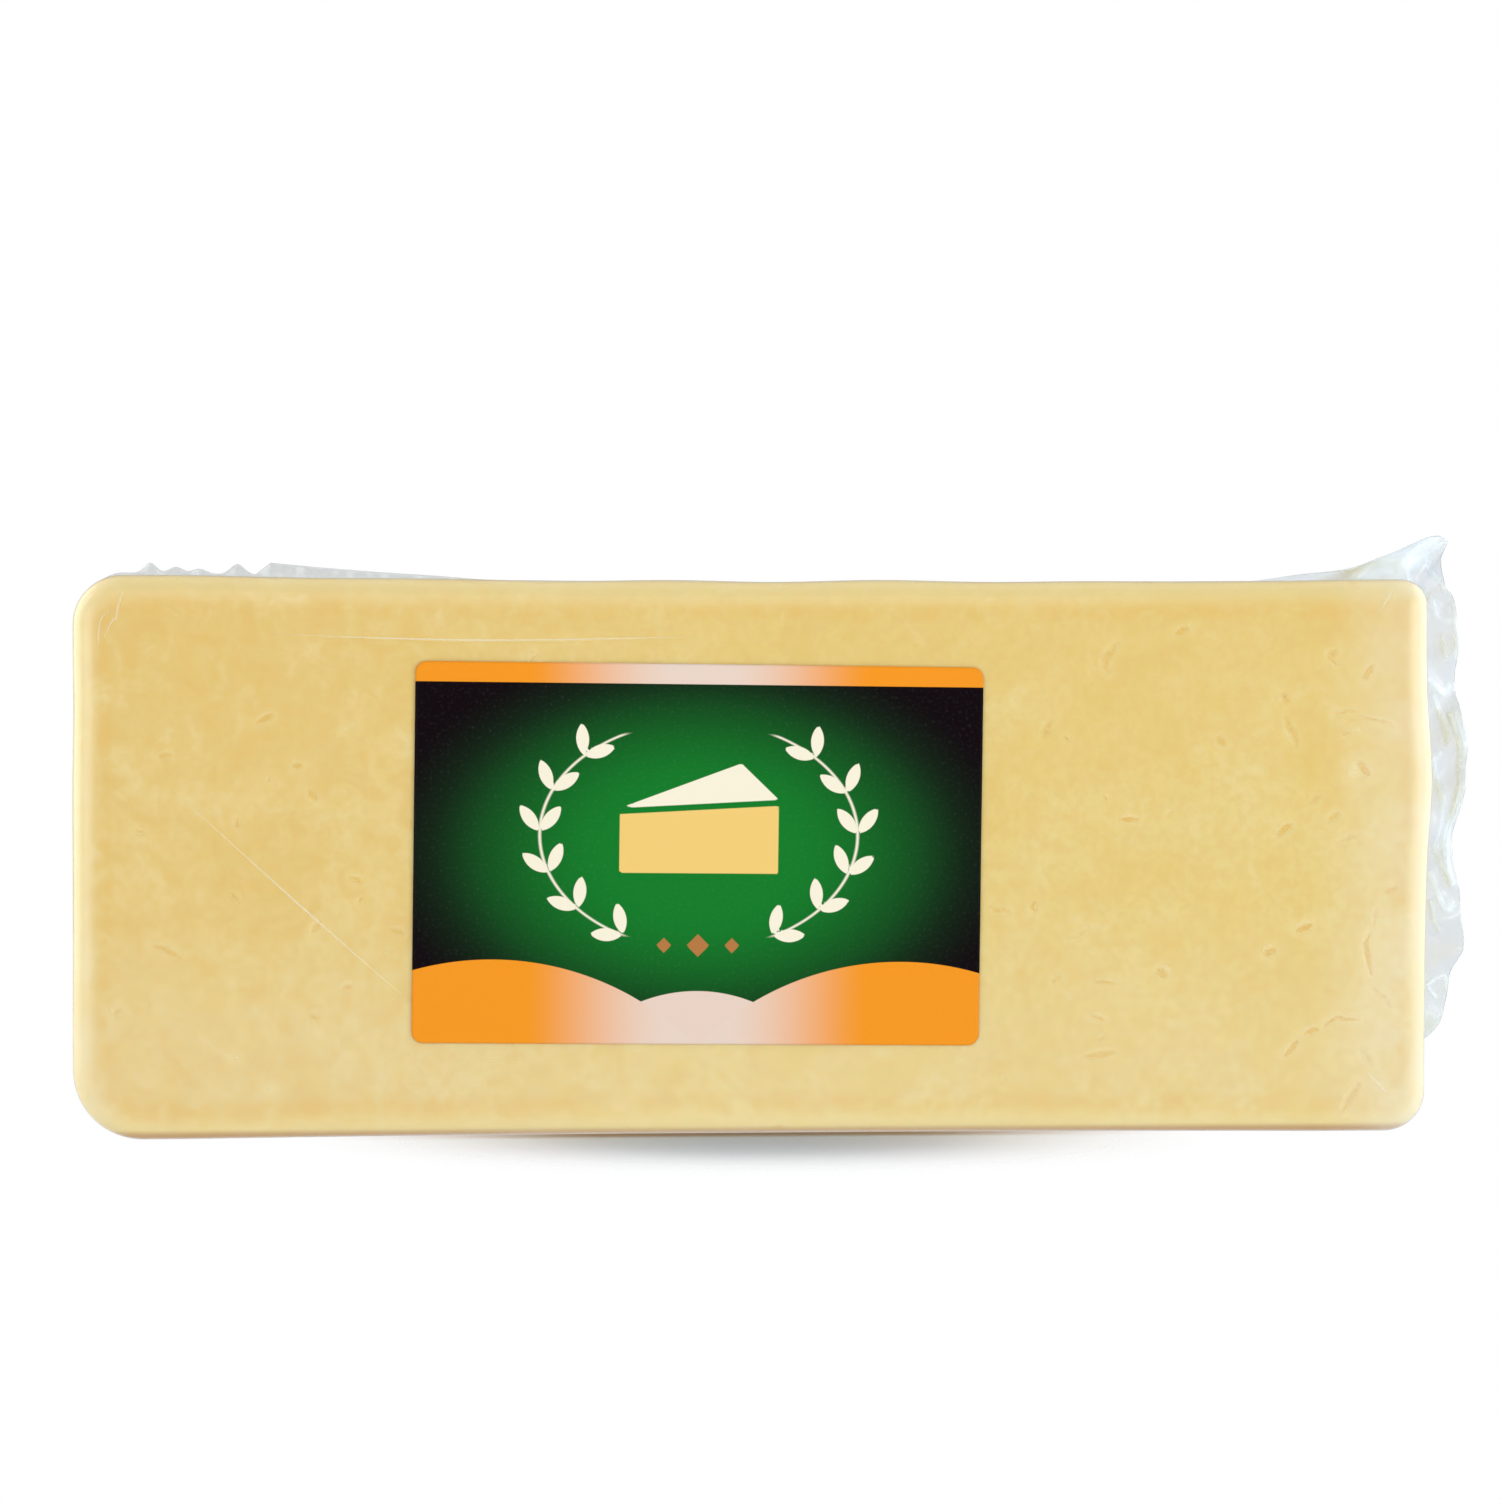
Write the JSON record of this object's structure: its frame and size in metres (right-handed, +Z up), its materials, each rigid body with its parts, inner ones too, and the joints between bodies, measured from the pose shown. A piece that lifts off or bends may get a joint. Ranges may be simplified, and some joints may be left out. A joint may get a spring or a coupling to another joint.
{
  "type": "vacuum-packed cheddar block",
  "caption": "Oblong block of pale cheddar drawn tight in a clear vacuum bag, with a printed label on one large face, standing on a long narrow side.",
  "frame": {"origin": "middle of the long narrow side that the block stands on", "axes": "+X along the length, to the right as seen from the label; +Y from the label into the block; +Z up"},
  "size_m": [0.38, 0.0886, 0.1602],
  "materials": {
    "cheese": "pale yellow cheese, faintly see-through, under a tight gloss film",
    "label_print": "coated paper, satin, printed in green, near-black and orange",
    "clear_film": "clear gloss film, creased"
  },
  "bodies": {
    "root": {"cheese_block": "cheese", "label": "label_print", "film_tail": "clear_film", "film_crest": "clear_film"}
  },
  "joints": []
}
